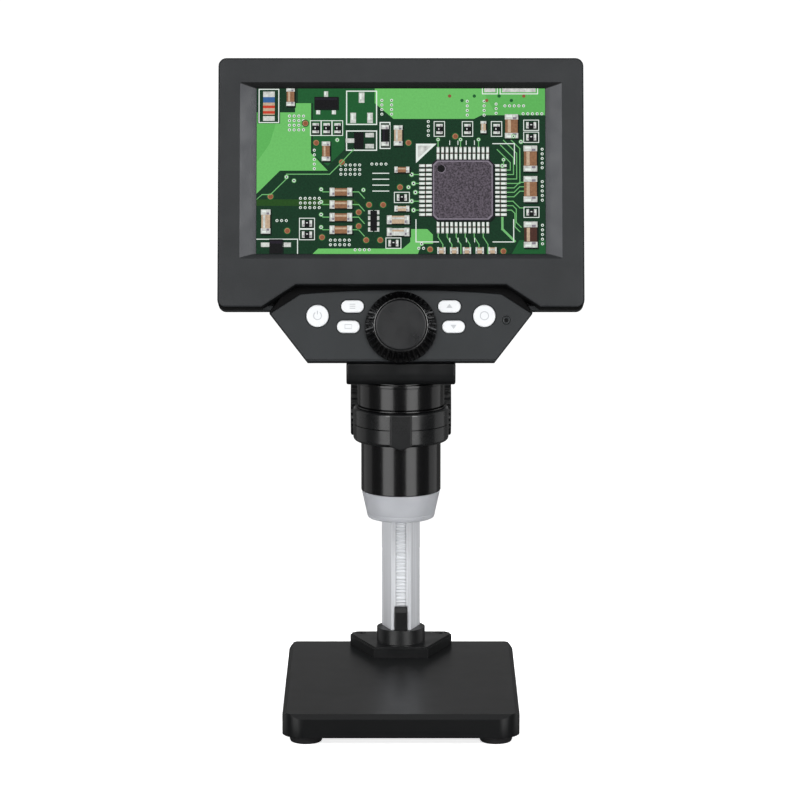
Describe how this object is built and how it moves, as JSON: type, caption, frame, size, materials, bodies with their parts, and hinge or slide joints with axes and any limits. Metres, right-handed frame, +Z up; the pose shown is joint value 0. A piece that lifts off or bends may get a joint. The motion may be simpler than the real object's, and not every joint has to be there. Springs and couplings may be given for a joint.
{
  "type": "lcd digital microscope",
  "caption": "Desktop digital microscope: tilted wide screen head with focus dial and keys on a short barrel, held in a ring that slides on a rack column over a flat base.",
  "frame": {"origin": "on the floor under the centre of the base, at the bottom of the rubber feet", "axes": "+Z up the column, +X to the user's right, the screen faces -Y"},
  "size_m": [0.195, 0.165, 0.3508],
  "materials": {
    "base_plastic": "satin moulded",
    "steel": "plated",
    "cover_plastic": "moulded",
    "foot_rubber": "matt",
    "foot_plastic": "fine texture",
    "column_aluminium": "satin anodised",
    "rack_aluminium": "machined",
    "holder_plastic": "semi gloss",
    "pad_rubber": "matt",
    "brass": "turned",
    "knob_plastic": "satin",
    "barrel_gloss": "polished",
    "case_plastic": "fine texture",
    "panel_plastic": "satin",
    "screen_glass": "lit picture",
    "board": "solder mask",
    "battery_wrap": "shrink wrap",
    "indicator_black": "smooth",
    "neck_plastic": "satin",
    "led_frost": "frosted translucent",
    "led_board_white": "solder mask",
    "led_yellow": "phosphor",
    "sensor_dark": "smooth",
    "dial_plastic": "satin",
    "disc_gloss": "spun",
    "lens_black": "anodised black",
    "lens_glass": "coated",
    "button_white": "smooth"
  },
  "bodies": {
    "stand": {"base_plate": "base_plastic", "base_weight": "steel", "base_cover": "cover_plastic", "rubber_feet": "foot_rubber", "base_screws": "steel", "column_foot": "foot_plastic", "column_key": "foot_plastic", "foot_screws": "steel", "column": "column_aluminium", "column_rack": "rack_aluminium", "column_cap": "foot_plastic"},
    "carriage": {"sleeve": "holder_plastic", "shaft_block": "holder_plastic", "friction_pad": "pad_rubber", "shaft_bushes": "brass", "carriage_screws": "steel", "holder_ring_upper": "holder_plastic", "holder_ring_lower": "holder_plastic", "ring_tab": "holder_plastic"},
    "height_drive": {"height_shaft": "steel", "height_pinion": "brass", "knob_left": "knob_plastic", "knob_right": "knob_plastic"},
    "swivel_bush": {"barrel_bush": "barrel_gloss"},
    "head": {"front_bezel": "case_plastic", "rear_cover": "case_plastic", "control_panel": "panel_plastic", "case_screws": "steel", "lcd_panel": "screen_glass", "lcd_backlight": "steel", "main_board": "board", "button_board": "board", "tact_switches": "steel", "battery": "battery_wrap", "usb_socket": "steel", "card_socket": "steel", "indicator_light": "indicator_black", "neck_block": "neck_plastic", "neck_screws": "steel", "barrel_upper": "barrel_gloss", "barrel_lower": "barrel_gloss", "led_cap": "led_frost", "led_board": "led_board_white", "leds": "led_yellow", "sensor_board": "board", "image_sensor": "sensor_dark", "dial_bush": "brass", "shaft_bracket": "steel"},
    "focus_drive": {"focus_dial": "dial_plastic", "dial_disc": "disc_gloss", "dial_shaft": "steel"},
    "lens_unit": {"lens_carrier": "lens_black", "objective_lens": "lens_glass", "lens_rack": "steel"},
    "power_key": {"power_button": "button_white"},
    "ok_key": {"ok_button": "button_white"},
    "menu_key": {"menu_button": "button_white"},
    "mode_key": {"mode_button": "button_white"},
    "up_key": {"up_button": "button_white"},
    "down_key": {"down_button": "button_white"}
  },
  "joints": [
    {"name": "height_slide", "type": "slide", "parent": "stand", "child": "carriage", "axis": [0, 0, 1], "range_m": [-0.08, 0.035]},
    {"name": "height_knobs", "type": "hinge", "parent": "carriage", "child": "height_drive", "pos_m": [0, 0.04558, 0.157], "axis": [1, 0, 0], "range_deg": [-420, 957]},
    {"name": "head_swivel", "type": "hinge", "parent": "carriage", "child": "swivel_bush", "pos_m": [0, 0.015, 0.157], "axis": [0, 0, 1], "range_deg": [-25, 25]},
    {"name": "head_lift_out", "type": "slide", "parent": "swivel_bush", "child": "head", "axis": [0, 0, 1], "range_m": [0, 0.065]},
    {"name": "focus_turn", "type": "hinge", "parent": "head", "child": "focus_drive", "pos_m": [0, -0.01623, 0.21263], "axis": [0, -0.9553, 0.2957], "range_deg": [-150, 150]},
    {"name": "lens_focus", "type": "slide", "parent": "head", "child": "lens_unit", "axis": [0, 0, 1], "range_m": [-0.0098, 0.0098]},
    {"name": "power_press", "type": "slide", "parent": "head", "child": "power_key", "axis": [0, 0.9553, -0.2957], "range_m": [0, 0.0006], "stiffness_N_per_m": 300},
    {"name": "ok_press", "type": "slide", "parent": "head", "child": "ok_key", "axis": [0, 0.9553, -0.2957], "range_m": [0, 0.0006], "stiffness_N_per_m": 300},
    {"name": "menu_press", "type": "slide", "parent": "head", "child": "menu_key", "axis": [0, 0.9553, -0.2957], "range_m": [0, 0.0006], "stiffness_N_per_m": 300},
    {"name": "mode_press", "type": "slide", "parent": "head", "child": "mode_key", "axis": [0, 0.9553, -0.2957], "range_m": [0, 0.0006], "stiffness_N_per_m": 300},
    {"name": "up_press", "type": "slide", "parent": "head", "child": "up_key", "axis": [0, 0.9553, -0.2957], "range_m": [0, 0.0006], "stiffness_N_per_m": 300},
    {"name": "down_press", "type": "slide", "parent": "head", "child": "down_key", "axis": [0, 0.9553, -0.2957], "range_m": [0, 0.0006], "stiffness_N_per_m": 300}
  ],
  "couplings": [
    {"joint": "height_knobs", "follows": "height_slide", "rad_per_m": -208.33},
    {"joint": "focus_turn", "follows": "lens_focus", "rad_per_m": 265.36}
  ]
}
